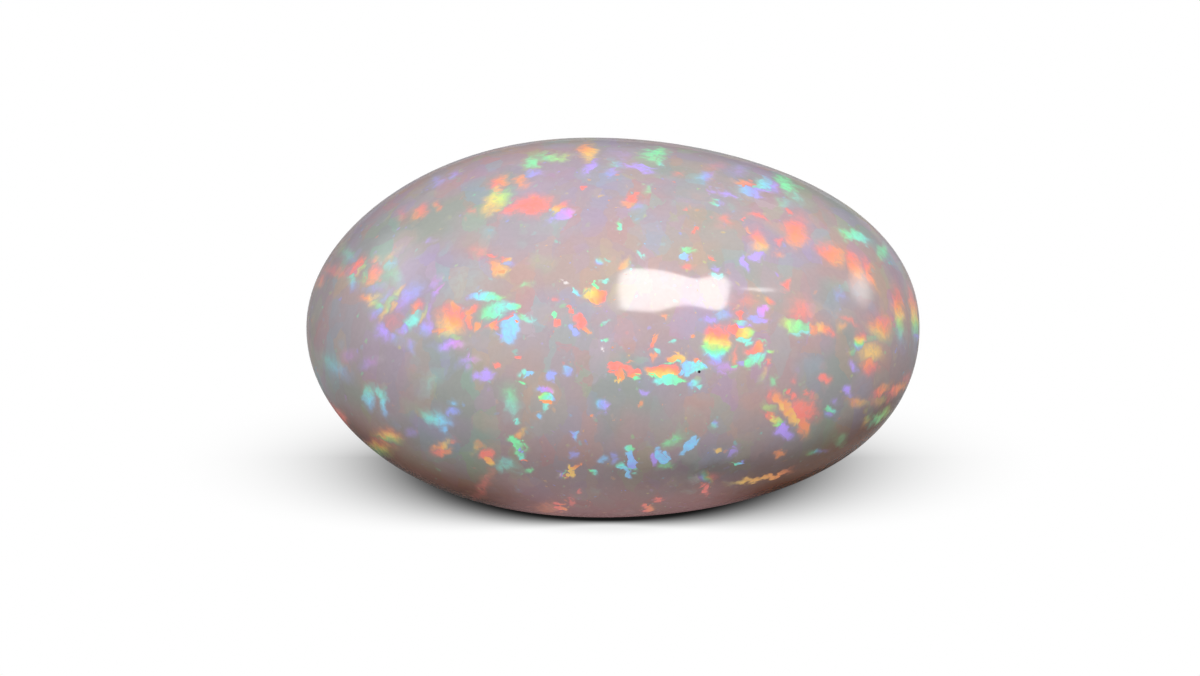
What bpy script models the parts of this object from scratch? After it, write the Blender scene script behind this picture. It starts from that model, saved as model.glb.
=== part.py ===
"""A polished oval opal, domed on both sides, lying on the small flat ground into its belly.

Metres, +Z up. The origin is on the surface that the stone rests on, under the middle of its
length and width. X runs along the stone's length and Y across its width.
"""
import math

import bmesh
import bpy
from mathutils import Vector

# Driving dimensions of the stone before its flat is ground
LENGTH = 0.02455
WIDTH = 0.0190
THICKNESS = 0.01438
CROWN_RISE = 0.00063  # how much further the crown stands from the girdle than the mean half
CROWN_LEAN = 0.00017  # how far the top of the crown sits towards -X
SEAT_CUT = 0.00035  # depth that the resting flat takes off the belly

# An exponent of 2 would be a true ellipsoid, and a little more fills out its shoulders
FULLNESS = 2.07

# The hand-cut stone isn't quite regular. Each row is a number of broad lobes round the stone,
# their height as a share of the radius, and the angle of the first lobe in degrees.
FACE_LOBES = ((3, 0.011, 43), (5, 0.007, 158))
PLAN_LOBES = ((3, 0.012, 90),)

SPLITS = 5  # how many times the starting ball's faces are divided

BODY_COLOUR = (0.47, 0.42, 0.43, 1.0)
POLISH_ROUGHNESS = 0.08


def clear_scene():
    for obj in list(bpy.data.objects):
        bpy.data.objects.remove(obj, do_unlink=True)


def lobes_at(first, second, lobes):
    """The share by which the lobes raise or lower the surface, fading towards their own axis."""
    reach = math.hypot(first, second)
    angle = math.atan2(second, first)
    return sum(
        height * reach**count * math.cos(count * angle - math.radians(turn))
        for count, height, turn in lobes
    )


def point_on_stone(direction):
    """Where the stone's surface lies in a direction from the middle of its girdle."""
    full = sum(abs(part) ** FULLNESS for part in direction) ** (-1 / FULLNESS)
    uneven = 1 + lobes_at(direction.x, direction.z, FACE_LOBES)
    uneven += lobes_at(direction.x, direction.y, PLAN_LOBES)
    x, y, z = direction * (full * uneven)
    along = LENGTH / 2 * x - CROWN_LEAN * ((1 + z) / 2) ** 4
    across = WIDTH / 2 * y
    height = THICKNESS / 2 * z + CROWN_RISE * z * z
    return Vector((along, across, height))


def domed_ball(bm):
    """An even ball of triangles, drawn out to the stone's oval."""
    bmesh.ops.create_icosphere(bm, subdivisions=SPLITS, radius=1.0)
    for vert in bm.verts:
        vert.co = point_on_stone(vert.co.normalized())


def grind_seat(bm):
    """Cuts the belly off level and closes it with one flat face."""
    lowest = min(vert.co.z for vert in bm.verts)
    bmesh.ops.bisect_plane(
        bm,
        geom=bm.verts[:] + bm.edges[:] + bm.faces[:],
        dist=2e-5,
        plane_co=(0, 0, lowest + SEAT_CUT),
        plane_no=(0, 0, -1),
        clear_outer=True,
    )
    rim = [edge for edge in bm.edges if edge.is_boundary]
    bmesh.ops.contextual_create(bm, geom=rim)
    bmesh.ops.recalc_face_normals(bm, faces=bm.faces[:])


def stand_on_origin(bm):
    """Brings the seat to Z = 0, and the middle of the length and width over the origin."""
    low = Vector(min(vert.co[axis] for vert in bm.verts) for axis in range(3))
    high = Vector(max(vert.co[axis] for vert in bm.verts) for axis in range(3))
    middle = (low + high) / 2
    bmesh.ops.translate(bm, verts=bm.verts[:], vec=(-middle.x, -middle.y, -low.z))


def opal_material():
    material = bpy.data.materials.new("opal")
    material.use_nodes = True
    shader = material.node_tree.nodes["Principled BSDF"]
    shader.inputs["Base Color"].default_value = BODY_COLOUR
    shader.inputs["Roughness"].default_value = POLISH_ROUGHNESS
    shader.inputs["Metallic"].default_value = 0.0
    return material


def make_opal():
    bm = bmesh.new()
    domed_ball(bm)
    grind_seat(bm)
    stand_on_origin(bm)
    mesh = bpy.data.meshes.new("opal")
    bm.to_mesh(mesh)
    bm.free()
    mesh.materials.append(opal_material())
    mesh.shade_smooth()
    mesh.set_sharp_from_angle(angle=math.radians(12))
    opal = bpy.data.objects.new("opal", mesh)
    bpy.context.scene.collection.objects.link(opal)
    return opal


def main():
    clear_scene()
    make_opal()


main()
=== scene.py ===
# %% [markdown]
# # A polished opal
#
# A double-domed oval opal, about 25 mm long, lies on its belly on a pale table. Its milky
# body is made of tiny silica spheres. Where they are stacked evenly they split the light, so
# patches of pure colour flash inside the stone. That play of colour is the whole look of an
# opal, and most of this lesson is about it.
#
# The packed model gives the frame: where the stone is, and how large.

# %% Load the frame
import math

import bpy
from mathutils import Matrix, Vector
from mathutils.bvhtree import BVHTree


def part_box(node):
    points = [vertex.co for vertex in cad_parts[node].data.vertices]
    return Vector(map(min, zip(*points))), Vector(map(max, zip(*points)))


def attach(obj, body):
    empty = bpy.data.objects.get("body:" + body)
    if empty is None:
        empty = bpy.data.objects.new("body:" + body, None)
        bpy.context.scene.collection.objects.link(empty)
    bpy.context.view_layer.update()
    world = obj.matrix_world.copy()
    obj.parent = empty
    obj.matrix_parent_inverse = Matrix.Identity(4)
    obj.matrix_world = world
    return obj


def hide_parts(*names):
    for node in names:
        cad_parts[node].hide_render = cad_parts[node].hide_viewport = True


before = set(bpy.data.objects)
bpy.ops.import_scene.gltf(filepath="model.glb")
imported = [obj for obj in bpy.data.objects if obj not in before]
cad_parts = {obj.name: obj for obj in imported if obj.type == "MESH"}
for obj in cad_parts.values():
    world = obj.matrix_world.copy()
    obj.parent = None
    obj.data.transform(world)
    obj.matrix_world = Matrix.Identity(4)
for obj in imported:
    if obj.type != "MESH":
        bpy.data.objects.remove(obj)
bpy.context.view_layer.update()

MM = 0.001
low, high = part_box("opal")
print("stone in mm:", [round((b - a) / MM, 2) for a, b in zip(low, high)])

# %% [markdown]
# ## Node trees written as sums
#
# The stone's shape and its colours both come from node trees. Dozens of Math nodes placed one
# by one are hard to read. So a small class wraps a socket and overloads Python's operators:
# `1 - mask * 0.5` then adds the Math nodes that it stands for. Every other node comes from
# one method, `node`, which sets the node's options before it fills the sockets.

# %% A socket that can be reckoned with
class Wire:
    """An output socket of a tree. Without a socket, it only starts other nodes."""

    def __init__(self, tree, socket=None):
        self.tree = tree
        self.socket = socket

    def node(self, kind, settings=None, sockets=None, out=0):
        made = self.tree.nodes.new(kind)
        for name, value in (settings or {}).items():
            if name == "stops":
                set_stops(made.color_ramp, value)
            else:
                setattr(made, name, value)
        for key, value in (sockets or {}).items():
            if isinstance(value, Wire):
                self.tree.links.new(value.socket, made.inputs[key])
            else:
                made.inputs[key].default_value = value
        return Wire(self.tree, made.outputs[out])

    def math(self, operation, *values):
        return self.node("ShaderNodeMath", {"operation": operation}, dict(enumerate(values)))

    def vector(self, operation, *values, out=0):
        settings = {"operation": operation}
        return self.node("ShaderNodeVectorMath", settings, dict(enumerate(values)), out)

    def __add__(self, other):
        return self.math("ADD", self, other)

    def __radd__(self, other):
        return self.math("ADD", other, self)

    def __sub__(self, other):
        return self.math("SUBTRACT", self, other)

    def __rsub__(self, other):
        return self.math("SUBTRACT", other, self)

    def __mul__(self, other):
        return self.math("MULTIPLY", self, other)

    def __rmul__(self, other):
        return self.math("MULTIPLY", other, self)

    def __pow__(self, other):
        return self.math("POWER", self, other)

    def split(self):
        """The X, Y and Z of a vector, or the red, green and blue of a colour."""
        kind = "ShaderNodeSeparateXYZ"
        if self.socket.type == "RGBA":
            kind = "ShaderNodeSeparateColor"
        return [self.node(kind, sockets={0: self}, out=i) for i in range(3)]

    def ease(self, start, end, low=0.0, high=1.0):
        """A smooth step from `low`, where this is `start`, to `high`, where it is `end`."""
        settings = {"interpolation_type": "SMOOTHSTEP", "clamp": False}
        sockets = {0: self, 1: start, 2: end, 3: low, 4: high}
        return self.node("ShaderNodeMapRange", settings, sockets)

    def ramp(self, stops):
        return self.node("ShaderNodeValToRGB", {"stops": stops}, {0: self})

    def blend(self, first, second):
        """Two colours mixed, with this as the share of the second."""
        settings = {"data_type": "RGBA"}
        return self.node("ShaderNodeMix", settings, {0: self, 6: first, 7: second}, out=2)


print("methods of a wire:", [name for name in vars(Wire) if not name.startswith("_")])

# %% [markdown]
# ## Colours as numbers
#
# A colour picked on a screen has to be turned into linear light before a node can use it, or
# it comes out pale. A colour ramp takes such colours in rows, each with its place.

# %% Colours and ramps
GREY = 128  # a middle grey on a screen


def set_stops(ramp, stops):
    """Gives a colour ramp its stops: rows of a place from 0 to 1 and a colour."""
    while len(ramp.elements) < len(stops):
        ramp.elements.new(1.0)
    for element, (place, colour) in zip(ramp.elements, stops):
        element.position = place
        element.color = colour


def paint(red, green, blue):
    """A colour picked by eye on a screen, from 0 to 255, as the linear light nodes use."""
    def light(value):
        part = value / 255
        return part / 12.92 if part <= 0.04045 else ((part + 0.055) / 1.055) ** 2.4
    return (light(red), light(green), light(blue), 1.0)


print("screen grey", GREY, "is", round(paint(GREY, GREY, GREY)[0], 3), "in linear light")

# %% [markdown]
# ## The stone's shape
#
# A cutter shapes such a stone by eye on a wheel, so its form follows a simple rule: nearly an
# ellipsoid, a little fuller in the shoulders, with a few broad lobes where the hand pressed
# harder. It could be sculpted, or a subdivided ball could be scaled. A rule in Geometry Nodes
# is better here, because the visible stone then has the same dimensions as the solid in the
# frame, at sixteen times its triangles. These are its dimensions.

# %% Dimensions of the stone
LENGTH = 24.54 * MM  # finer faces reach further out, so this is a hair under the solid's 24.55
WIDTH = 19.0 * MM
THICKNESS = 14.38 * MM
CROWN_RISE = 0.63 * MM  # how much further the crown stands from the girdle than the mean half
CROWN_LEAN = 0.17 * MM  # how far the top of the crown sits towards -X
SEAT_CUT = 0.35 * MM  # depth that the resting flat takes off the belly
SEAT_EDGE = 0.04 * MM  # how far the edge of the flat is rounded
FULLNESS = 2.07  # 2 would be a true ellipsoid
FACE_LOBES = ((3, 0.011, 43), (5, 0.007, 158))  # count, height as a share, first angle
PLAN_LOBES = ((3, 0.012, 90),)
SPLITS = 7  # each further split has four times the triangles

print("stone before grinding, in mm:", LENGTH / MM, WIDTH / MM, THICKNESS / MM)

# %% [markdown]
# The tree starts from a ball and moves each point to where the rule puts it. A lobe is a wave
# round one axis. It fades towards that axis, where all directions meet, so that no crease or
# peak forms there.

# %% The uneven oval
def lobes(first, second, rows):
    """The share by which lobes round one axis raise or lower the surface."""
    reach = (first * first + second * second) ** 0.5
    angle = first.math("ARCTAN2", second, first)
    total = 0.0
    for count, height, turn in rows:
        wave = first.math("COSINE", angle * count - math.radians(turn))
        total = wave * (reach ** count) * height + total
    return total


def uneven_oval(start, size):
    """A ball whose points are moved out to the rule's surface."""
    ball = start.node("GeometryNodeMeshIcoSphere", sockets={0: 1.0, 1: size["Splits"]})
    place = start.node("GeometryNodeInputPosition")
    way = start.vector("NORMALIZE", place)
    x, y, z = way.split()
    powers = [part.math("ABSOLUTE", part) ** FULLNESS for part in (x, y, z)]
    full = (powers[0] + powers[1] + powers[2]) ** (-1 / FULLNESS)
    uneven = lobes(x, z, FACE_LOBES) + lobes(x, y, PLAN_LOBES) + 1
    x, y, z = [part * full * uneven for part in (x, y, z)]
    lean = (z * 0.5 + 0.5) ** 4 * size["Crown lean"]
    along = x * size["Length"] * 0.5 - lean
    across = y * size["Width"] * 0.5
    height = z * size["Thickness"] * 0.5 + z * z * size["Crown rise"]
    moved = start.node("ShaderNodeCombineXYZ", sockets={0: along, 1: across, 2: height})
    return start.node("GeometryNodeSetPosition", sockets={0: ball, 2: moved})


print("lobes round the face and the plan:", len(FACE_LOBES), len(PLAN_LOBES))

# %% [markdown]
# The seat is ground like on a wheel: every point below its level is lifted to it. A smooth
# maximum does that and rounds the edge a little. Then the stone is moved so that its seat is
# at zero height and its middle over the origin, as in the frame.

# %% The seat
def ground_and_placed(start, oval, size):
    """The oval with its seat ground level, standing over the origin."""
    box = start.node("GeometryNodeBoundBox", sockets={0: oval}, out=1)
    lowest = box.split()[2]
    here = start.node("GeometryNodeInputPosition").split()
    seat = lowest + size["Seat cut"]
    ground = start.math("SMOOTH_MAX", here[2], seat, SEAT_EDGE)
    flat = start.node("ShaderNodeCombineXYZ", sockets={0: here[0], 1: here[1], 2: ground})
    seated = start.node("GeometryNodeSetPosition", sockets={0: oval, 2: flat})

    corners = [
        start.node("GeometryNodeBoundBox", sockets={0: seated}, out=i) for i in (1, 2)
    ]
    doubled = start.vector("ADD", *corners)
    middle = start.node(
        "ShaderNodeVectorMath", {"operation": "SCALE"}, {0: doubled, "Scale": -0.5}
    )
    shift = middle.split()
    drop = corners[0].split()[2]
    home = start.node(
        "ShaderNodeCombineXYZ", sockets={0: shift[0], 1: shift[1], 2: drop * -1}
    )
    return start.node("GeometryNodeSetPosition", sockets={0: seated, 3: home})


print("the seat's edge is rounded by, in mm:", SEAT_EDGE / MM)

# %% [markdown]
# The tree itself has one input for each dimension, so the same rule could make another stone.

# %% The tree of the domed oval
def add_socket(tree, name, kind, way="INPUT"):
    return tree.interface.new_socket(name, in_out=way, socket_type=kind)


def domed_oval_tree():
    tree = bpy.data.node_groups.new("domed oval", "GeometryNodeTree")
    add_socket(tree, "Geometry", "NodeSocketGeometry", "OUTPUT")
    for name in ("Length", "Width", "Thickness", "Crown rise", "Crown lean", "Seat cut"):
        add_socket(tree, name, "NodeSocketFloat")
    add_socket(tree, "Splits", "NodeSocketInt")
    add_socket(tree, "Material", "NodeSocketMaterial")
    given = tree.nodes.new("NodeGroupInput")
    size = {socket.name: Wire(tree, socket) for socket in given.outputs if socket.name}
    start = Wire(tree)
    standing = ground_and_placed(start, uneven_oval(start, size), size)
    smooth = start.node("GeometryNodeSetShadeSmooth", sockets={0: standing, 2: True})
    real = start.node("GeometryNodeRealizeInstances", sockets={0: smooth})
    dressed = start.node("GeometryNodeSetMaterial", sockets={0: real, 2: size["Material"]})
    result = tree.nodes.new("NodeGroupOutput")
    tree.links.new(dressed.socket, result.inputs[0])
    return tree


shape_tree = domed_oval_tree()
print("nodes in the shape rule:", len(shape_tree.nodes))

# %% [markdown]
# ## From the tree to a plain mesh
#
# The tree runs as a modifier on an empty carrier object. Its inputs are set by the socket's
# identifier before Blender first evaluates it. The result is then copied out as an ordinary
# mesh and the carrier is thrown away, so nothing live is left on the piece. The nearest
# distance from every point to the solid in the frame says how well the two agree.

# %% Make the stone and compare it with the solid
opal_material = bpy.data.materials.new("milky opal")
opal_material.use_nodes = True

SHAPE_INPUTS = {
    "Length": LENGTH,
    "Width": WIDTH,
    "Thickness": THICKNESS,
    "Crown rise": CROWN_RISE,
    "Crown lean": CROWN_LEAN,
    "Seat cut": SEAT_CUT,
    "Splits": SPLITS,
    "Material": opal_material,
}


def grow(name, tree, inputs):
    """Runs a Geometry Nodes tree once and returns its result as a plain mesh object."""
    carrier = bpy.data.objects.new(name + " carrier", bpy.data.meshes.new(name + " carrier"))
    bpy.context.scene.collection.objects.link(carrier)
    modifier = carrier.modifiers.new("rule", "NODES")
    modifier.node_group = tree
    for item in tree.interface.items_tree:
        if item.item_type == "SOCKET" and item.name in inputs:
            modifier[item.identifier] = inputs[item.name]
    graph = bpy.context.evaluated_depsgraph_get()
    mesh = bpy.data.meshes.new_from_object(carrier.evaluated_get(graph), depsgraph=graph)
    mesh.name = name
    mesh.materials.clear()
    mesh.materials.append(inputs["Material"])
    mesh.polygons.foreach_set("material_index", [0] * len(mesh.polygons))
    bpy.data.objects.remove(carrier, do_unlink=True)
    made = bpy.data.objects.new(name, mesh)
    bpy.context.scene.collection.objects.link(made)
    return made


def tree_of_faces(obj):
    mesh = obj.data
    points = [obj.matrix_world @ vert.co for vert in mesh.vertices]
    return BVHTree.FromPolygons(points, [tuple(face.vertices) for face in mesh.polygons])


stone = grow("polished_opal", shape_tree, SHAPE_INPUTS)
solid_faces = tree_of_faces(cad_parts["opal"])
gaps = [solid_faces.find_nearest(vert.co)[3] for vert in stone.data.vertices]
print("triangles:", len(stone.data.polygons), "furthest from the solid in mm:", max(gaps) / MM)

# %% [markdown]
# ## The camera
#
# The picture is taken from the front with a long lens, from about 20 degrees above the table.
# The stone's outline is measured as the camera sees it, and its middle is what the colour
# flashes are placed from, in millimetres across and up.

# %% Camera and what it sees
DISTANCE = 200 * MM
ELEVATION = math.radians(20)
LENS = 150.0
SENSOR = 36.0  # width of the sensor in mm
MIDDLE_RIGHT = 0.52 * MM  # how far the outline's middle stands right of the picture's
MIDDLE_UP = 0.42 * MM  # and above it

view = Vector((0, math.cos(ELEVATION), -math.sin(ELEVATION)))
right = Vector((1, 0, 0))
up = right.cross(view)
pivot = (low + high) / 2


def seen_from(eye, point):
    """Where a point appears, across and up, on a plane through the stone."""
    line = point - eye
    scale = DISTANCE / line.dot(view)
    return line.dot(right) * scale, line.dot(up) * scale


eye = pivot - view * DISTANCE
seen = [seen_from(eye, vert.co) for vert in stone.data.vertices]
spans = [(min(part), max(part)) for part in zip(*seen)]
middle = [(a + b) / 2 for a, b in spans]
eye += right * (middle[0] - MIDDLE_RIGHT) + up * (middle[1] - MIDDLE_UP)

camera_data = bpy.data.cameras.new("camera")
camera_data.lens = LENS
camera_data.sensor_width = SENSOR
camera_data.clip_start = 10 * MM
camera = bpy.data.objects.new("camera", camera_data)
camera.location = eye
camera.rotation_euler = view.to_track_quat("-Z", "Y").to_euler()
bpy.context.scene.collection.objects.link(camera)
bpy.context.scene.camera = camera
print("seen outline in mm:", [round((b - a) / MM, 2) for a, b in spans])

# %% [markdown]
# ## Looking along a line of sight
#
# Two questions come up again and again: which point of the stone is seen at a place in the
# picture, and what is mirrored there? Both are answered by casting a ray from the camera. A
# photographer does the same with a lamp in hand, moving it until the glint sits where it
# should.

# %% Sight lines and mirrored lines
stone_faces = tree_of_faces(stone)


def sight(across, up_mm):
    """The place and outward direction of the surface seen there, in mm from the middle."""
    aim = right * (across * MM + MIDDLE_RIGHT) + up * (up_mm * MM + MIDDLE_UP)
    line = (view * DISTANCE + aim).normalized()
    place, outward, _, _ = stone_faces.ray_cast(eye, line)
    return place, outward, line


def mirrored(across, up_mm):
    """The place there, and the direction in which the polish mirrors the sight line."""
    place, outward, line = sight(across, up_mm)
    return place, line - 2 * line.dot(outward) * outward


GLINT_MIDDLE = (2.4, 1.5)  # of the main glint, in mm across and up
glint_way = mirrored(*GLINT_MIDDLE)[1]
print("key light stands at elevation", round(math.degrees(math.asin(glint_way.z))))

# %% [markdown]
# ## The colours of the fire
#
# Play of colour follows the spectrum, because each stack of spheres sends back one wavelength
# for one angle. So every flash is a stretch of one colour ramp, from coral red to violet, and
# a flash that crosses a bent stack runs through neighbouring colours. The colours are pale,
# since they are seen through milk.

# %% The spectrum
RED = 0.0
ORANGE = 0.13
AMBER = 0.26
LIME = 0.39
GREEN = 0.50
CYAN = 0.60
SKY = 0.70
BLUE = 0.78
VIOLET = 0.86
MAGENTA = 0.94
WHITE = 1.0

SPECTRUM = (
    (RED, paint(252, 132, 120)),
    (ORANGE, paint(255, 160, 102)),
    (AMBER, paint(252, 206, 112)),
    (LIME, paint(185, 232, 130)),
    (GREEN, paint(130, 240, 172)),
    (CYAN, paint(132, 238, 224)),
    (SKY, paint(140, 208, 255)),
    (BLUE, paint(158, 172, 255)),
    (VIOLET, paint(186, 158, 255)),
    (MAGENTA, paint(224, 150, 240)),
    (WHITE, paint(238, 238, 238)),
)
print("colours in the spectrum:", len(SPECTRUM))

# %% [markdown]
# ## The flashes that the front shows
#
# On the side that faces the camera the flashes are listed one by one: each row gives a flash's
# place across and up from the middle of the outline, its half length and half width, all in
# millimetres, the turn of its length in degrees, its first and last colour, and how strong it
# is. Small bright ones are called pin fire.

# %% Flashes of the upper left
UPPER_LEFT = (
    (-5.96, 1.82, 0.62, 0.34, 25, CYAN, CYAN, 0.16),
    (-3.28, 4.92, 0.64, 0.34, 8, RED, RED, 0.95),
    (-4.15, 4.66, 0.30, 0.14, 20, RED, RED, 0.8),
    (-4.64, 5.02, 0.50, 0.27, 32, AMBER, LIME, 1.0),
    (-4.54, 5.78, 0.32, 0.22, 30, RED, ORANGE, 0.95),
    (-4.60, 5.48, 0.18, 0.18, 90, AMBER, ORANGE, 0.85),
    (-3.70, 5.83, 0.24, 0.20, 0, ORANGE, ORANGE, 0.75),
    (-3.28, 6.54, 0.24, 0.20, 60, GREEN, GREEN, 0.9),
    (-3.14, 6.10, 0.28, 0.10, 8, BLUE, VIOLET, 0.6),
    (-2.38, 6.77, 0.52, 0.16, 3, GREEN, LIME, 0.75),
    (-1.04, 7.04, 0.32, 0.26, -60, ORANGE, AMBER, 1.0),
    (-0.88, 6.44, 0.33, 0.16, 50, VIOLET, VIOLET, 0.8),
    (0.22, 6.44, 0.24, 0.13, 0, CYAN, BLUE, 0.45),
    (0.00, 6.15, 0.16, 0.08, 0, BLUE, VIOLET, 0.5),
    (-1.18, 5.55, 0.12, 0.08, 30, RED, RED, 0.9),
    (-2.10, 4.78, 0.35, 0.14, 30, AMBER, RED, 0.7),
    (-2.00, 4.48, 0.42, 0.14, 18, VIOLET, MAGENTA, 0.75),
    (-2.56, 4.64, 0.20, 0.08, -20, CYAN, SKY, 0.4),
    (-6.34, 6.06, 0.24, 0.12, 40, VIOLET, VIOLET, 0.6),
    (-7.00, 5.80, 0.22, 0.16, 20, BLUE, VIOLET, 0.45),
    (-7.74, 4.60, 0.28, 0.17, 50, ORANGE, RED, 0.75),
    (-6.98, 4.86, 0.13, 0.10, 0, ORANGE, RED, 0.55),
    (-8.44, 4.50, 0.18, 0.15, 90, RED, RED, 0.4),
    (-5.68, 4.60, 0.16, 0.10, 0, RED, RED, 0.5),
    (-7.32, 3.44, 0.14, 0.08, 30, VIOLET, VIOLET, 0.45),
    (-4.88, 2.91, 0.17, 0.07, -10, RED, RED, 0.9),
    (-5.32, 3.05, 0.25, 0.20, 60, RED, RED, 0.4),
    (-4.64, 2.36, 0.32, 0.22, -35, ORANGE, AMBER, 0.65),
    (-4.56, 2.24, 0.14, 0.10, 0, ORANGE, ORANGE, 0.8),
    (-4.32, 2.68, 0.17, 0.08, -15, RED, AMBER, 0.7),
    (-4.18, 2.54, 0.18, 0.08, 10, SKY, BLUE, 0.4),
    (-3.56, 1.68, 0.20, 0.08, 5, GREEN, GREEN, 0.4),
)
print("flashes, upper left:", len(UPPER_LEFT))

# %% [markdown]
# The left end is the liveliest part. Its flashes lie deep under the curve, small and close
# together, and most of them lean to the upper right, along the layers that the spheres
# settled in. They could be strewn by a rule, but a rule has no feeling for such a cluster.

# %% Flashes of the left end
LEFT_END = (
    (-10.24, 2.46, 0.38, 0.16, 55, RED, RED, 1.0),
    (-10.08, 2.28, 0.30, 0.08, 55, AMBER, LIME, 0.6),
    (-10.40, 1.84, 0.25, 0.15, -75, GREEN, SKY, 0.6),
    (-9.56, 2.06, 0.36, 0.19, 58, ORANGE, RED, 0.95),
    (-9.84, 2.06, 0.25, 0.08, 60, LIME, GREEN, 0.4),
    (-11.00, 2.26, 0.55, 0.14, -8, RED, RED, 0.45),
    (-11.72, 1.86, 0.22, 0.13, 65, ORANGE, RED, 0.55),
    (-10.62, 2.90, 0.30, 0.14, -50, GREEN, SKY, 0.35),
    (-9.48, 2.70, 0.14, 0.10, 20, RED, ORANGE, 0.6),
    (-8.92, 2.84, 0.35, 0.09, 40, ORANGE, AMBER, 0.35),
    (-8.96, 2.52, 0.20, 0.12, 30, CYAN, SKY, 0.4),
    (-8.72, 1.98, 0.30, 0.14, -60, GREEN, CYAN, 0.3),
    (-9.76, 1.20, 0.30, 0.12, 5, ORANGE, AMBER, 0.85),
    (-9.58, 0.96, 0.15, 0.10, 0, AMBER, LIME, 0.65),
    (-9.38, 0.82, 0.22, 0.13, -45, LIME, CYAN, 0.55),
    (-9.44, 0.58, 0.22, 0.12, 42, VIOLET, SKY, 0.6),
    (-9.14, 0.64, 0.24, 0.09, 58, AMBER, LIME, 0.65),
    (-8.90, 1.02, 0.40, 0.13, 60, LIME, GREEN, 0.5),
    (-8.56, 1.50, 0.22, 0.10, 35, LIME, AMBER, 0.6),
    (-8.74, 0.82, 0.20, 0.08, 58, AMBER, AMBER, 0.55),
    (-9.08, 1.18, 0.30, 0.10, 58, SKY, BLUE, 0.4),
    (-9.52, 1.58, 0.25, 0.10, 0, BLUE, VIOLET, 0.35),
    (-8.22, 1.20, 0.52, 0.22, 50, VIOLET, BLUE, 0.7),
    (-8.00, 0.36, 0.34, 0.20, 50, CYAN, CYAN, 1.0),
    (-7.86, 0.82, 0.24, 0.13, 50, ORANGE, RED, 0.85),
    (-7.94, 0.60, 0.25, 0.15, 50, LIME, GREEN, 0.5),
    (-8.30, 0.02, 0.26, 0.13, 45, VIOLET, BLUE, 0.85),
    (-7.48, -0.04, 0.25, 0.20, 40, BLUE, VIOLET, 0.85),
    (-7.56, 0.54, 0.32, 0.08, 65, AMBER, LIME, 0.5),
    (-7.32, 0.54, 0.40, 0.08, 78, VIOLET, VIOLET, 0.45),
    (-9.20, -0.14, 0.28, 0.21, -70, VIOLET, VIOLET, 0.9),
    (-8.78, -0.44, 0.20, 0.13, -30, VIOLET, BLUE, 0.6),
    (-8.84, 0.14, 0.30, 0.24, 40, RED, RED, 0.35),
    (-8.08, -0.78, 0.20, 0.11, -50, VIOLET, BLUE, 0.55),
    (-7.04, 1.42, 0.22, 0.08, 55, VIOLET, MAGENTA, 0.6),
    (-7.16, 1.76, 0.28, 0.10, 45, VIOLET, MAGENTA, 0.35),
)
print("flashes, left end:", len(LEFT_END))

# %% [markdown]
# Towards the middle the flashes get larger and further apart. Where two colours touch, such as
# the orange patch and the green slivers beside it, they are given as separate overlapping
# rows, and the lower row in the list wins where both are at full strength.

# %% Flashes between the left end and the middle
LEFT_MIDDLE = (
    (-6.48, 0.28, 0.52, 0.40, -110, RED, AMBER, 1.0),
    (-6.70, -0.06, 0.40, 0.13, 5, ORANGE, AMBER, 0.9),
    (-6.24, 0.78, 0.28, 0.14, -70, ORANGE, RED, 0.9),
    (-6.72, 0.66, 0.40, 0.10, 55, RED, ORANGE, 0.4),
    (-6.38, -0.42, 0.22, 0.14, -30, LIME, LIME, 0.5),
    (-6.06, 0.44, 0.14, 0.12, 0, RED, RED, 0.9),
    (-6.54, -0.72, 0.44, 0.14, 0, VIOLET, MAGENTA, 0.85),
    (-5.68, 0.62, 0.28, 0.12, 30, ORANGE, RED, 0.95),
    (-5.74, 0.26, 0.20, 0.13, -80, ORANGE, RED, 0.8),
    (-5.40, 0.14, 0.16, 0.10, 50, ORANGE, ORANGE, 0.85),
    (-5.06, 1.25, 0.55, 0.12, -3, SKY, GREEN, 0.95),
    (-4.74, 0.72, 0.42, 0.25, 25, GREEN, CYAN, 0.8),
    (-4.10, 0.78, 0.26, 0.12, -12, CYAN, GREEN, 0.95),
    (-3.48, 0.36, 0.38, 0.10, -15, GREEN, CYAN, 0.55),
    (-4.52, 0.26, 0.52, 0.10, 25, RED, RED, 0.6),
    (-4.70, 0.10, 0.20, 0.14, 40, ORANGE, RED, 0.9),
    (-4.08, -0.06, 0.48, 0.28, -105, SKY, SKY, 1.0),
    (-4.44, -0.32, 0.18, 0.09, 0, BLUE, VIOLET, 0.6),
    (-3.90, 0.18, 0.13, 0.08, -15, RED, ORANGE, 1.0),
    (-5.80, -1.36, 0.32, 0.12, 25, VIOLET, MAGENTA, 0.5),
    (-5.82, -1.62, 0.12, 0.12, 0, VIOLET, MAGENTA, 0.4),
    (-5.12, -1.90, 0.32, 0.22, 10, VIOLET, VIOLET, 0.85),
    (-3.84, -1.16, 0.12, 0.06, -20, RED, RED, 0.9),
    (-4.54, -1.42, 0.12, 0.08, 0, RED, RED, 0.9),
    (-3.64, -1.76, 0.17, 0.10, -30, CYAN, CYAN, 0.7),
    (-3.42, -1.86, 0.12, 0.10, 0, SKY, SKY, 0.8),
    (-3.72, -2.12, 0.16, 0.06, -25, GREEN, GREEN, 0.85),
    (-4.14, -2.98, 0.50, 0.22, -80, GREEN, CYAN, 0.5),
    (-2.80, -2.46, 0.22, 0.12, 0, BLUE, MAGENTA, 0.75),
    (-2.68, -2.78, 0.25, 0.17, 0, LIME, SKY, 1.0),
    (-2.64, -3.04, 0.15, 0.10, 0, ORANGE, ORANGE, 0.9),
    (-2.68, -3.24, 0.14, 0.10, 90, CYAN, CYAN, 0.7),
    (-2.42, -1.96, 0.17, 0.16, 0, BLUE, BLUE, 0.7),
    (-1.84, -1.86, 0.16, 0.10, -40, SKY, BLUE, 0.65),
    (-7.28, -2.20, 0.30, 0.14, 50, CYAN, CYAN, 0.3),
)
print("flashes, left of the middle:", len(LEFT_MIDDLE))

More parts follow.
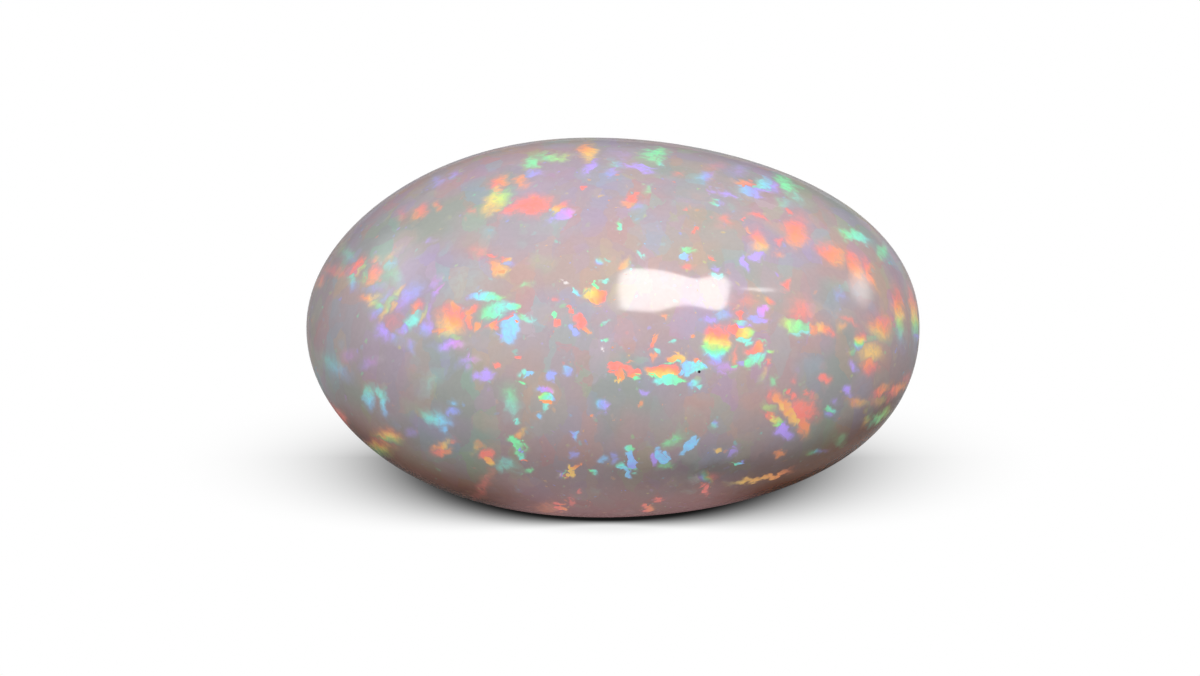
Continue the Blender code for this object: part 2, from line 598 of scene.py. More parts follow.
# %% [markdown]
# Low on the left the stone curves away. Blue and green prevail here, and a few red ones sit
# right at the rim, where the light leaves the stone at a flat angle.

# %% Flashes of the lower left
LOWER_LEFT = (
    (-11.16, -1.54, 0.50, 0.22, -35, CYAN, SKY, 0.45),
    (-10.60, -1.14, 0.20, 0.12, 0, MAGENTA, MAGENTA, 0.3),
    (-9.78, -1.42, 0.28, 0.10, 25, VIOLET, MAGENTA, 0.35),
    (-9.76, -2.80, 0.35, 0.16, -85, CYAN, SKY, 0.9),
    (-9.32, -2.70, 0.28, 0.12, -55, CYAN, CYAN, 0.85),
    (-9.16, -3.06, 0.40, 0.13, -85, CYAN, SKY, 0.9),
    (-11.00, -3.46, 0.50, 0.16, -52, RED, RED, 0.75),
    (-8.96, -4.36, 0.20, 0.38, -95, ORANGE, LIME, 0.75),
    (-9.38, -4.78, 0.22, 0.40, -95, ORANGE, LIME, 0.6),
    (-8.04, -4.12, 0.15, 0.10, 0, VIOLET, VIOLET, 0.35),
    (-7.00, -3.64, 0.45, 0.20, -20, CYAN, SKY, 0.9),
    (-6.42, -3.38, 0.22, 0.15, 0, BLUE, BLUE, 0.8),
    (-6.38, -2.94, 0.14, 0.12, 0, SKY, SKY, 0.6),
    (-6.76, -4.08, 0.13, 0.12, 0, SKY, SKY, 0.75),
    (-6.88, -4.72, 0.28, 0.14, 35, ORANGE, AMBER, 0.85),
    (-6.84, -4.96, 0.30, 0.12, 10, RED, ORANGE, 0.8),
    (-6.48, -4.54, 0.15, 0.09, 0, ORANGE, RED, 0.55),
    (-5.08, -5.08, 0.20, 0.18, 0, RED, RED, 1.0),
    (-5.00, -5.36, 0.16, 0.10, -60, ORANGE, AMBER, 0.9),
    (-5.44, -4.78, 0.20, 0.12, 30, AMBER, ORANGE, 0.5),
    (-3.90, -4.60, 0.40, 0.14, -20, GREEN, GREEN, 1.0),
    (-3.58, -4.78, 0.10, 0.08, 0, BLUE, BLUE, 0.8),
    (-3.76, -4.34, 0.25, 0.08, 35, ORANGE, AMBER, 0.5),
    (-3.68, -5.02, 0.20, 0.17, -60, GREEN, CYAN, 0.75),
    (-3.48, -5.22, 0.13, 0.06, 10, RED, ORANGE, 0.9),
    (-3.42, -5.75, 0.25, 0.12, 0, GREEN, GREEN, 0.6),
    (-4.40, -5.46, 0.35, 0.18, 0, CYAN, CYAN, 0.45),
    (-3.84, -3.80, 0.12, 0.11, -45, CYAN, CYAN, 0.75),
    (-2.96, -3.50, 0.10, 0.09, 0, SKY, SKY, 0.75),
    (-5.12, -6.26, 0.50, 0.12, 55, RED, RED, 0.3),
    (-2.06, -7.18, 0.20, 0.13, 0, RED, ORANGE, 0.85),
    (-2.50, -7.25, 0.40, 0.15, 0, ORANGE, ORANGE, 0.3),
    (-1.64, -6.94, 0.12, 0.10, 0, RED, RED, 0.45),
    (-1.30, -6.62, 0.08, 0.07, 0, RED, RED, 0.5),
)
print("flashes, lower left:", len(LOWER_LEFT))

# %% [markdown]
# In the middle the surface faces the camera, so this is where detail shows. There are a few
# wide flashes whose hue runs across their short side, and many grains of pin fire.

# %% Flashes of the middle
MIDDLE = (
    (-0.68, 1.24, 0.34, 0.24, -12, AMBER, RED, 1.0),
    (-0.62, 1.60, 0.13, 0.09, 0, GREEN, GREEN, 0.95),
    (-1.42, 1.44, 0.17, 0.09, -40, CYAN, SKY, 0.75),
    (-0.30, 1.82, 0.14, 0.05, 0, CYAN, CYAN, 0.6),
    (-1.88, 1.78, 0.12, 0.03, -8, WHITE, WHITE, 0.5),
    (0.40, 2.60, 0.22, 0.12, 20, ORANGE, AMBER, 0.5),
    (-0.54, 2.66, 0.13, 0.12, 60, BLUE, CYAN, 0.5),
    (1.16, 2.86, 0.16, 0.05, -40, CYAN, CYAN, 0.5),
    (-2.42, 1.19, 0.12, 0.09, 0, RED, RED, 0.5),
    (-1.76, 0.64, 0.15, 0.07, 90, RED, RED, 0.95),
    (-2.30, 0.50, 0.10, 0.09, 0, GREEN, GREEN, 1.0),
    (-2.30, 0.14, 0.18, 0.09, -80, RED, RED, 0.9),
    (-1.32, 0.18, 0.32, 0.18, -30, RED, RED, 0.85),
    (-1.06, -0.06, 0.16, 0.09, -35, RED, ORANGE, 0.8),
    (-1.62, -0.10, 0.18, 0.10, -30, BLUE, BLUE, 0.75),
    (-0.32, 0.18, 0.16, 0.05, 12, CYAN, CYAN, 0.4),
    (0.06, -1.60, 0.26, 0.14, -10, RED, RED, 1.0),
    (0.24, -1.86, 0.26, 0.09, -65, RED, ORANGE, 0.95),
    (0.20, -2.12, 0.08, 0.08, 0, AMBER, AMBER, 0.7),
    (0.60, -1.72, 0.38, 0.15, -22, RED, RED, 0.95),
    (0.66, -1.98, 0.20, 0.09, -20, RED, ORANGE, 0.9),
    (0.82, -1.88, 0.14, 0.05, -35, AMBER, LIME, 0.8),
    (0.86, -2.10, 0.12, 0.05, -25, GREEN, GREEN, 0.7),
    (0.68, -1.38, 0.20, 0.05, 5, RED, ORANGE, 0.6),
    (-0.30, -0.54, 0.11, 0.09, 60, CYAN, GREEN, 0.6),
    (-0.40, -0.88, 0.06, 0.04, 0, WHITE, WHITE, 0.5),
    (1.66, -0.50, 0.24, 0.06, 55, RED, ORANGE, 0.75),
    (1.76, -0.86, 0.14, 0.07, -50, CYAN, CYAN, 0.7),
    (1.64, -1.08, 0.15, 0.08, 80, ORANGE, ORANGE, 0.55),
    (2.48, -0.64, 0.10, 0.10, 0, CYAN, CYAN, 0.6),
    (1.28, -2.70, 0.12, 0.11, 0, VIOLET, VIOLET, 0.55),
    (2.24, -2.10, 0.50, 0.15, 4, CYAN, GREEN, 1.0),
    (1.94, -1.76, 0.19, 0.56, -98, RED, AMBER, 1.0),
    (1.68, -1.92, 0.30, 0.05, -25, GREEN, GREEN, 0.8),
    (2.46, -1.28, 0.30, 0.14, 0, ORANGE, AMBER, 0.8),
    (2.32, -1.48, 0.25, 0.06, 0, GREEN, CYAN, 0.75),
    (3.10, -1.60, 0.42, 0.23, -5, SKY, CYAN, 1.0),
    (3.50, -1.58, 0.15, 0.10, 0, CYAN, SKY, 0.9),
    (3.32, -1.36, 0.14, 0.08, -30, ORANGE, RED, 0.8),
    (3.28, -2.28, 0.22, 0.12, 10, SKY, CYAN, 0.7),
    (3.26, -0.26, 0.08, 0.08, 0, ORANGE, ORANGE, 0.7),
    (2.04, 0.52, 0.09, 0.09, 0, ORANGE, ORANGE, 0.5),
    (-0.34, -3.16, 0.24, 0.15, -25, SKY, VIOLET, 0.65),
    (-0.78, -3.60, 0.07, 0.07, 0, ORANGE, ORANGE, 0.7),
    (1.12, -3.08, 0.10, 0.10, 0, ORANGE, ORANGE, 0.5),
    (-1.50, -4.38, 0.15, 0.15, 0, BLUE, SKY, 0.7),
    (-1.58, -5.10, 0.13, 0.10, 90, BLUE, BLUE, 0.45),
)
print("flashes, middle:", len(MIDDLE))

# %% [markdown]
# Under the middle there is a row of sky-blue flashes, and below it one long amber sliver that
# follows the grey band, a painted dark reflection.

# %% Flashes of the lower middle
LOWER_MIDDLE = (
    (2.40, -4.54, 0.35, 0.20, 40, GREEN, GREEN, 0.5),
    (3.02, -4.74, 0.45, 0.13, 48, SKY, SKY, 1.0),
    (1.84, -4.90, 0.12, 0.12, 0, SKY, SKY, 0.6),
    (1.98, -5.18, 0.25, 0.17, -30, SKY, SKY, 1.0),
    (1.66, -5.32, 0.16, 0.10, 90, VIOLET, VIOLET, 0.7),
    (2.08, -5.50, 0.25, 0.15, 0, GREEN, GREEN, 0.4),
    (0.70, -5.28, 0.33, 0.14, -80, SKY, BLUE, 1.0),
    (0.66, -4.82, 0.12, 0.10, 0, CYAN, GREEN, 0.8),
    (0.44, -5.64, 0.32, 0.15, -45, CYAN, SKY, 0.95),
    (0.80, -5.66, 0.12, 0.07, 0, CYAN, CYAN, 0.6),
    (-0.44, -5.22, 0.13, 0.13, 0, SKY, SKY, 0.5),
    (0.02, -5.16, 0.15, 0.10, 90, BLUE, BLUE, 0.4),
    (-0.86, -5.83, 0.16, 0.07, -15, GREEN, CYAN, 0.8),
    (-1.76, -5.78, 0.25, 0.12, -75, AMBER, AMBER, 1.0),
    (-1.58, -5.58, 0.20, 0.08, 35, AMBER, ORANGE, 0.8),
    (-2.04, -5.98, 0.15, 0.10, 0, MAGENTA, RED, 0.6),
    (4.28, -4.89, 0.13, 0.09, 20, AMBER, AMBER, 0.85),
    (4.98, -5.38, 0.32, 0.06, 3, GREEN, BLUE, 0.9),
    (4.80, -4.96, 0.20, 0.08, 15, VIOLET, VIOLET, 0.5),
    (4.10, -3.80, 0.12, 0.10, 60, CYAN, BLUE, 0.5),
    (5.88, -6.00, 0.95, 0.09, 13, AMBER, ORANGE, 0.9),
    (1.42, -7.24, 0.20, 0.12, 0, RED, ORANGE, 0.7),
    (1.82, -6.86, 0.18, 0.12, 0, RED, RED, 0.6),
    (3.60, -6.52, 0.17, 0.13, 90, RED, RED, 0.7),
    (3.72, -6.02, 0.35, 0.15, 10, MAGENTA, RED, 0.35),
)
print("flashes, lower middle:", len(LOWER_MIDDLE))

# %% [markdown]
# Right of the middle one flash runs through the whole spectrum from red to sky blue, which is
# the look of a stack of spheres that is slightly bent.

# %% Flashes right of the middle
RIGHT_MIDDLE = (
    (4.12, -0.72, 0.62, 0.44, -97, RED, SKY, 1.0),
    (4.84, -0.06, 0.28, 0.20, 10, RED, RED, 1.0),
    (5.26, -0.26, 0.28, 0.18, 0, ORANGE, LIME, 1.0),
    (5.30, -0.54, 0.25, 0.09, 0, CYAN, CYAN, 0.8),
    (5.16, 0.10, 0.27, 0.07, -12, VIOLET, VIOLET, 0.85),
    (5.18, 0.26, 0.20, 0.08, -20, GREEN, SKY, 0.6),
    (5.06, 0.54, 0.18, 0.11, -60, RED, RED, 0.85),
    (5.94, 0.72, 0.20, 0.15, 50, VIOLET, MAGENTA, 0.85),
    (5.78, 0.36, 0.33, 0.12, -5, BLUE, VIOLET, 0.9),
    (6.20, 1.14, 0.22, 0.12, -30, ORANGE, RED, 0.75),
    (5.28, 1.05, 0.30, 0.16, 0, RED, ORANGE, 0.3),
    (5.74, -0.86, 0.28, 0.14, 15, RED, ORANGE, 0.95),
    (5.64, -1.24, 0.36, 0.18, 45, GREEN, CYAN, 0.85),
    (5.98, -1.20, 0.25, 0.09, 60, GREEN, CYAN, 0.7),
    (5.34, -1.46, 0.25, 0.12, 0, VIOLET, SKY, 0.5),
    (6.32, -0.88, 0.14, 0.06, 0, GREEN, LIME, 0.9),
    (6.00, -0.64, 0.20, 0.04, -20, GREEN, GREEN, 0.5),
    (6.22, -1.34, 0.18, 0.09, 60, RED, ORANGE, 0.65),
    (6.00, -1.82, 0.30, 0.08, 65, LIME, AMBER, 0.35),
    (6.40, -2.10, 0.14, 0.13, 90, GREEN, GREEN, 0.5),
    (4.90, -1.18, 0.30, 0.10, 80, ORANGE, RED, 0.5),
    (4.88, -1.54, 0.16, 0.06, 0, GREEN, GREEN, 0.6),
    (4.48, -1.60, 0.40, 0.10, 0, VIOLET, MAGENTA, 0.4),
    (4.40, 0.54, 0.25, 0.20, 0, SKY, BLUE, 0.45),
    (3.92, 0.32, 0.20, 0.15, 0, VIOLET, VIOLET, 0.5),
    (7.50, 0.66, 0.42, 0.36, -60, RED, RED, 0.6),
    (7.32, 0.02, 0.42, 0.20, -15, LIME, GREEN, 1.0),
    (7.50, -0.16, 0.30, 0.10, 0, CYAN, CYAN, 0.8),
    (7.96, -0.08, 0.20, 0.10, 0, ORANGE, ORANGE, 0.7),
    (8.30, -0.04, 0.22, 0.13, 0, AMBER, ORANGE, 0.9),
    (8.56, -0.16, 0.25, 0.12, -30, ORANGE, RED, 0.9),
    (9.14, 0.02, 0.16, 0.09, 40, AMBER, ORANGE, 0.5),
    (9.44, 0.24, 0.35, 0.07, -25, RED, RED, 0.55),
    (7.28, -2.08, 0.12, 0.10, 0, RED, RED, 0.45),
    (8.47, -2.07, 0.22, 0.15, 0, RED, RED, 1.0),
)
print("flashes, right of the middle:", len(RIGHT_MIDDLE))

# %% [markdown]
# The upper right has green and blue patches near the top edge, and small red ones below them.
# They are seen through more milk, so several have less than full strength.

# %% Flashes of the upper right
UPPER_RIGHT = (
    (1.00, 6.41, 0.45, 0.12, -8, VIOLET, VIOLET, 0.8),
    (1.68, 6.96, 0.42, 0.17, 5, GREEN, GREEN, 0.85),
    (1.86, 6.64, 0.20, 0.14, -60, GREEN, CYAN, 0.85),
    (0.44, 6.94, 0.30, 0.14, 0, VIOLET, VIOLET, 0.25),
    (0.28, 4.10, 0.14, 0.10, -60, GREEN, CYAN, 0.8),
    (0.78, 5.23, 0.20, 0.12, 20, RED, RED, 0.8),
    (0.54, 5.06, 0.14, 0.08, 0, ORANGE, ORANGE, 0.6),
    (1.36, 5.58, 0.20, 0.10, 35, GREEN, GREEN, 0.4),
    (0.88, 4.90, 0.22, 0.16, 0, VIOLET, BLUE, 0.35),
    (3.64, 6.06, 0.32, 0.20, 25, SKY, VIOLET, 0.6),
    (5.10, 6.26, 0.20, 0.12, 10, VIOLET, VIOLET, 0.35),
    (4.10, 6.46, 0.25, 0.10, 0, RED, RED, 0.25),
    (5.32, 5.73, 0.36, 0.13, -12, ORANGE, RED, 0.95),
    (6.08, 5.68, 0.30, 0.25, 20, CYAN, SKY, 0.95),
    (5.42, 5.44, 0.36, 0.17, -10, SKY, BLUE, 1.0),
    (5.90, 5.40, 0.35, 0.13, 8, BLUE, VIOLET, 0.9),
    (6.36, 5.66, 0.20, 0.18, 0, BLUE, VIOLET, 0.8),
    (6.90, 5.72, 0.40, 0.20, -42, GREEN, GREEN, 1.0),
    (7.24, 5.34, 0.30, 0.12, -60, GREEN, CYAN, 0.5),
    (4.48, 5.36, 0.36, 0.09, -18, VIOLET, VIOLET, 0.65),
    (3.86, 5.48, 0.12, 0.07, -30, VIOLET, VIOLET, 0.5),
    (4.14, 5.04, 0.20, 0.08, -20, GREEN, BLUE, 0.6),
    (2.58, 6.18, 0.12, 0.08, 0, RED, RED, 0.4),
    (2.90, 4.72, 0.10, 0.07, 0, RED, RED, 0.5),
    (4.46, 4.32, 0.24, 0.20, 0, RED, RED, 0.45),
    (3.32, 3.96, 0.10, 0.08, 0, RED, RED, 0.8),
    (5.80, 4.42, 0.35, 0.10, -18, RED, RED, 0.8),
    (5.28, 4.34, 0.08, 0.07, 0, RED, RED, 0.7),
    (7.00, 4.68, 0.13, 0.07, -45, RED, RED, 0.9),
    (6.80, 4.94, 0.20, 0.12, 0, GREEN, CYAN, 0.4),
    (2.92, 2.84, 0.22, 0.14, 0, SKY, BLUE, 0.95),
    (2.92, 3.12, 0.25, 0.08, 0, GREEN, GREEN, 0.6),
    (3.00, 2.42, 0.20, 0.12, 0, RED, RED, 0.5),
    (4.00, 2.76, 0.10, 0.08, -40, RED, RED, 0.7),
    (4.12, 2.34, 0.10, 0.10, 0, VIOLET, VIOLET, 0.5),
    (4.16, 2.06, 0.20, 0.10, 0, CYAN, CYAN, 0.7),
    (5.28, 2.58, 0.24, 0.10, -75, VIOLET, VIOLET, 0.75),
    (5.80, 2.82, 0.26, 0.13, 15, VIOLET, VIOLET, 0.75),
    (5.84, 3.46, 0.42, 0.26, -75, RED, AMBER, 0.75),
    (5.52, 3.90, 0.15, 0.08, -20, ORANGE, ORANGE, 0.7),
    (6.64, 3.04, 0.14, 0.10, 0, ORANGE, ORANGE, 0.5),
    (6.92, 1.74, 0.18, 0.14, 90, RED, RED, 0.85),
)
print("flashes, upper right:", len(UPPER_RIGHT))

# %% [markdown]
# At the right end coral and orange prevail. The two upright streaks at the very end are one
# bent domain each, drawn tall because the surface turns away there.

# %% Flashes of the right end
RIGHT_END = (
    (7.36, 3.78, 0.40, 0.36, -80, RED, ORANGE, 1.0),
    (6.74, 3.54, 0.15, 0.12, 0, RED, RED, 0.7),
    (7.48, 4.36, 0.22, 0.20, 0, RED, RED, 0.35),
    (8.72, 2.94, 0.42, 0.28, -35, RED, ORANGE, 1.0),
    (8.92, 2.66, 0.16, 0.06, -10, AMBER, ORANGE, 0.8),
    (9.62, 2.52, 0.50, 0.21, -62, RED, ORANGE, 0.95),
    (10.24, 2.14, 0.50, 0.12, -65, RED, ORANGE, 0.8),
    (9.70, 3.64, 0.50, 0.13, -20, GREEN, CYAN, 1.0),
    (10.80, 3.02, 0.22, 0.15, 60, GREEN, GREEN, 0.65),
    (9.16, 1.26, 0.18, 0.10, -60, BLUE, BLUE, 0.4),
    (11.42, 0.56, 0.80, 0.17, -84, RED, GREEN, 0.85),
    (12.02, 0.56, 0.80, 0.15, -86, RED, GREEN, 0.85),
    (12.14, -0.38, 0.14, 0.10, 0, BLUE, BLUE, 0.7),
    (10.72, 0.06, 0.40, 0.38, -105, RED, AMBER, 0.9),
    (10.40, -0.42, 0.40, 0.12, 15, LIME, GREEN, 0.35),
    (9.88, -0.52, 0.28, 0.17, -100, RED, CYAN, 0.95),
    (9.60, -0.92, 0.15, 0.07, 15, LIME, CYAN, 0.5),
    (10.36, -0.98, 0.40, 0.30, 10, AMBER, AMBER, 0.8),
    (10.26, -1.52, 0.30, 0.26, -70, ORANGE, RED, 0.95),
    (9.64, -1.48, 0.22, 0.10, -60, VIOLET, VIOLET, 0.8),
    (9.34, -2.52, 0.15, 0.13, 0, VIOLET, VIOLET, 1.0),
    (9.48, -2.70, 0.14, 0.09, -70, VIOLET, VIOLET, 0.5),
    (8.88, -2.98, 0.10, 0.08, 0, VIOLET, VIOLET, 0.5),
    (8.68, -3.27, 0.20, 0.07, -20, GREEN, CYAN, 0.85),
    (8.58, -3.42, 0.16, 0.09, 0, BLUE, VIOLET, 0.6),
    (11.68, -2.16, 0.30, 0.12, 55, RED, RED, 0.5),
    (10.68, -2.58, 0.35, 0.14, 35, RED, ORANGE, 0.9),
    (11.34, -2.49, 0.38, 0.16, 30, RED, ORANGE, 1.0),
    (10.50, -2.96, 0.30, 0.12, 10, ORANGE, AMBER, 0.4),
    (10.96, -2.92, 0.20, 0.08, 70, RED, RED, 0.45),
    (9.82, -2.98, 0.33, 0.14, -20, ORANGE, AMBER, 0.65),
    (10.70, -3.59, 0.38, 0.14, 30, GREEN, LIME, 0.8),
    (10.16, -3.64, 0.18, 0.10, 60, AMBER, LIME, 0.45),
)
print("flashes, right end:", len(RIGHT_END))

# %% [markdown]
# The lower right has one strong coral flash with amber slivers in it. It is built from three
# rows that overlap, so that its outline is as ragged as a broken domain.

# %% Flashes of the lower right
LOWER_RIGHT = (
    (7.16, -3.38, 0.75, 0.20, -50, ORANGE, AMBER, 1.0),
    (7.58, -3.28, 0.50, 0.38, -20, RED, RED, 1.0),
    (7.62, -3.84, 0.42, 0.20, -78, RED, ORANGE, 1.0),
    (6.72, -2.98, 0.30, 0.11, -60, ORANGE, AMBER, 0.9),
    (6.38, -2.68, 0.25, 0.15, -80, RED, RED, 0.55),
    (6.28, -3.46, 0.25, 0.10, 0, RED, ORANGE, 0.7),
    (6.54, -3.64, 0.28, 0.12, -40, AMBER, LIME, 0.85),
    (6.64, -3.88, 0.20, 0.07, -20, LIME, GREEN, 0.8),
    (6.26, -3.18, 0.22, 0.16, 0, LIME, LIME, 0.45),
    (6.84, -4.16, 0.28, 0.20, -20, VIOLET, VIOLET, 1.0),
    (6.68, -5.05, 0.16, 0.12, 0, ORANGE, ORANGE, 0.8),
    (8.16, -4.96, 0.25, 0.08, 0, GREEN, BLUE, 0.5),
    (7.76, -2.62, 0.12, 0.07, 0, RED, RED, 0.7),
    (8.00, -2.78, 0.18, 0.08, -30, RED, RED, 0.55),
    (7.14, -2.68, 0.10, 0.09, 0, RED, RED, 0.9),
    (9.10, -4.50, 0.16, 0.12, 0, GREEN, GREEN, 0.35),
)
print("flashes, lower right:", len(LOWER_RIGHT))

FLASHES = (
    UPPER_LEFT + LEFT_END + LEFT_MIDDLE + LOWER_LEFT + MIDDLE + LOWER_MIDDLE
    + RIGHT_MIDDLE + UPPER_RIGHT + RIGHT_END + LOWER_RIGHT
)
print("flashes laid by hand:", len(FLASHES))

# %% [markdown]
# ## Three flashes at a time
#
# Each flash is an ellipse with a soft edge, on a plane that faces the camera. Two sums say how
# far along and how far to the side of its middle a point lies. Their squares make the reach,
# and a peak less the reach makes the flash's strength there. The strongest flash at a point
# gives its hue, so neighbours meet at a crisp edge, as domains in opal do.
#
# A vector node does three sums for the price of one. So one group works out three flashes
# side by side, one each in X, Y and Z, and hands on the best strength and hue so far.

# %% The group of three flashes
CRISP = 3e4  # how suddenly one flash gives way to the next


def three_flashes_tree():
    tree = bpy.data.node_groups.new("three opal flashes", "ShaderNodeTree")
    for name in ("Best", "Hue"):
        add_socket(tree, name, "NodeSocketVector")
        add_socket(tree, name, "NodeSocketVector", "OUTPUT")
    for name in ("Across", "Up", "Peak", "Strength", "Hue slope", "Hue start"):
        add_socket(tree, name, "NodeSocketVector")
    for name in ("Along", "Side"):
        for part in (" across", " up", " start"):
            add_socket(tree, name + part, "NodeSocketVector")
    given = tree.nodes.new("NodeGroupInput")
    value = {socket.name: Wire(tree, socket) for socket in given.outputs if socket.name}
    start = Wire(tree)

    def distance(name):
        rise = start.vector(
            "MULTIPLY_ADD", value["Up"], value[name + " up"], value[name + " start"]
        )
        return start.vector("MULTIPLY_ADD", value["Across"], value[name + " across"], rise)

    along, side = distance("Along"), distance("Side")
    square = start.vector("MULTIPLY", side, side)
    reach = start.vector("MULTIPLY_ADD", along, along, square)
    strength = start.vector("SUBTRACT", value["Peak"], reach)
    strength = start.vector("MINIMUM", strength, value["Strength"])
    hue = start.vector("MULTIPLY_ADD", along, value["Hue slope"], value["Hue start"])
    lead = start.vector("SUBTRACT", strength, value["Best"])
    wins = start.vector("MULTIPLY", lead, (CRISP, CRISP, CRISP))
    choice = start.node(
        "ShaderNodeMix",
        {"data_type": "VECTOR", "factor_mode": "NON_UNIFORM"},
        {1: wins, 4: value["Hue"], 5: hue},
        out=1,
    )
    best = start.vector("MAXIMUM", value["Best"], strength)
    result = tree.nodes.new("NodeGroupOutput")
    tree.links.new(best.socket, result.inputs["Best"])
    tree.links.new(choice.socket, result.inputs["Hue"])
    return tree


flash_tree = three_flashes_tree()
print("nodes for three flashes:", len(flash_tree.nodes))

# %% [markdown]
# ## The stone's material
#
# The material is built up as the stone is: a milky body with slow changes of tint, faint
# domains in it, flashes scattered by a cellular pattern all round, and the listed flashes
# over them in front. Before anything is looked up, the coordinates are jittered a little from
# cell to cell. That gives every flash the broken, angular edge of real opal domains.

# %% Coordinates and helpers of the material
material_tree = opal_material.node_tree
material_tree.nodes.clear()
start = Wire(material_tree)
position = start.node("ShaderNodeTexCoord", out=3)
outward = start.node("ShaderNodeTexCoord", out=1)
place = start.node(
    "ShaderNodeVectorMath", {"operation": "SCALE"}, {0: position, "Scale": 1 / MM}
)


def noise(vector, scale, detail=2.0, out=0):
    """A cloudy pattern: its value, or three values with `out=1`."""
    sockets = {"Vector": vector, "Scale": scale, "Detail": detail}
    return start.node("ShaderNodeTexNoise", sockets=sockets, out=out)


def cells(vector, scale, out=1):
    """A pattern of cells: each one's random colour, or the distance to its middle."""
    return start.node(
        "ShaderNodeTexVoronoi", sockets={"Vector": vector, "Scale": scale}, out=out
    )


def triple(value):
    return start.node("ShaderNodeCombineXYZ", sockets={0: value, 1: value, 2: value})


def drift(vector, pattern, reach):
    """Moves coordinates by a pattern's colour, by up to half of `reach` mm each way."""
    off = start.vector("SUBTRACT", pattern, (0.5, 0.5, 0.5))
    return start.vector("MULTIPLY_ADD", off, triple(reach), vector)


print("coordinates are read in mm, so they are divided by", MM)

# %% [markdown]
# ### Jitter
#
# Slow waves bend the outlines, cells break them, and a fine pattern frays them. Towards the
# ends the flashes lie deeper, so the breaks are weaker there. The side that faces the camera
# is told from the rest by the surface's own direction, so it stays put in every view.

# %% Jitter and the side that faces the camera
CLEAREST = 0.5  # mm right of the origin, where the stone is clearest
CLEAR, DEEP = 4.0, 9.5  # mm from there where the flashes begin and cease to lie deeper
CALM = 0.45  # share of the breaks that is left in the deep
WAVES = (1.1, 0.50)  # scale of the pattern to a mm, and the jitter's reach in mm
BREAKS = (2.6, 0.16)
FRAYS = (3.2, 0.30)
FRONT_RIM = (-0.20, 0.10)  # how far the surface faces the camera where the front fades in

from_middle = start.math("ABSOLUTE", place.split()[0] - CLEAREST)
sharp = from_middle.ease(CLEAR, DEEP, 1.0, CALM)
wavy = drift(place, noise(place, WAVES[0], out=1), WAVES[1])
broken = drift(wavy, cells(wavy, BREAKS[0]), sharp * BREAKS[1])
frayed = drift(broken, noise(place, FRAYS[0], 3.0, out=1), FRAYS[1])
facing = start.vector("DOT_PRODUCT", outward, tuple(-view), out=1)
front = facing.ease(*FRONT_RIM)
print("reach of waves, breaks and frays in mm:", WAVES[1], BREAKS[1], FRAYS[1])

# %% [markdown]
# ### Body and domains
#
# The body drifts between grey-mauve, rose, grey-green and lilac. One flat colour would look
# like glazed china, so two slow patterns decide where each tint shows.

# %% Milky body
MAUVE = paint(184, 171, 177)
ROSE = paint(192, 168, 168)
SAGE = paint(168, 172, 168)
LILAC = paint(182, 168, 182)
CLOUD_SCALE = 0.34  # drifts of tint to a mm
PATCH_SCALE = 0.21
ROSE_RANGE = (0.38, 0.62)  # values of the cloud where rose begins and is full
SAGE_RANGE = (0.50, 0.66)
LILAC_RANGE = (0.52, 0.70)

cloud = noise(wavy, CLOUD_SCALE, 3.0)
patch = noise(wavy, PATCH_SCALE, out=1).split()
body = cloud.ease(*ROSE_RANGE).blend(MAUVE, ROSE)
body = patch[0].ease(*SAGE_RANGE).blend(body, SAGE)
body = patch[1].ease(*LILAC_RANGE).blend(body, LILAC)
print("drifts of tint are about", round(1 / CLOUD_SCALE, 1), "mm wide")

# %% [markdown]
# Two patterns of cells show the domains that don't flash. The first has round ones, the second
# long splinters that lean. Each cell has one colour of the spectrum, and it is barely seen.
# Towards the seat the body is painted darker and warmer. That is painted shade, tinted
# orange-brown like light that has passed through opal, whose blue part was scattered out.

# %% Faint domains and the painted shade of the foot
DOMAIN_SCALE = 0.42  # cells to a mm
DOMAIN_TINT = 0.08  # share of its colour that the strongest shows
DOMAIN_RANGE = (0.35, 1.0)  # random values of a cell from none of its tint to all of it
SPLINTER_SCALE = 0.95
SPLINTER_TINT = 0.13
SPLINTER_RANGE = (0.30, 1.0)
SPLINTER_TURN = (0.3, 0.6, 0.2)  # radians round X, Y and Z
SPLINTER_SHAPE = (1.5, 1.0, 0.65)
# painted shade towards the table: the body gets darker and warmer there
FOOT_SHADE_BROWN = paint(146, 114, 108)
FOOT_SHADE_HEIGHTS = (5.5, 0.5)  # mm above the table where the warm foot begins, and is full
FOOT_SHADE_SHARE = 0.70

domain = cells(broken, DOMAIN_SCALE).split()
tint = domain[0].ramp(SPECTRUM)
body = domain[1].ease(*DOMAIN_RANGE, 0.0, DOMAIN_TINT).blend(body, tint)
height = place.split()[2]
slab = start.node(
    "ShaderNodeMapping",
    {"vector_type": "POINT"},
    {"Vector": broken, "Rotation": SPLINTER_TURN, "Scale": SPLINTER_SHAPE},
)
splinter = cells(slab, SPLINTER_SCALE).split()
tint = splinter[0].ramp(SPECTRUM)
body = splinter[1].ease(*SPLINTER_RANGE, 0.0, SPLINTER_TINT).blend(body, tint)
# painted shade: darker and warmer towards the table
body = height.ease(*FOOT_SHADE_HEIGHTS, 0.0, FOOT_SHADE_SHARE).blend(body, FOOT_SHADE_BROWN)
print("domains are about", round(1 / DOMAIN_SCALE, 1), "mm wide")
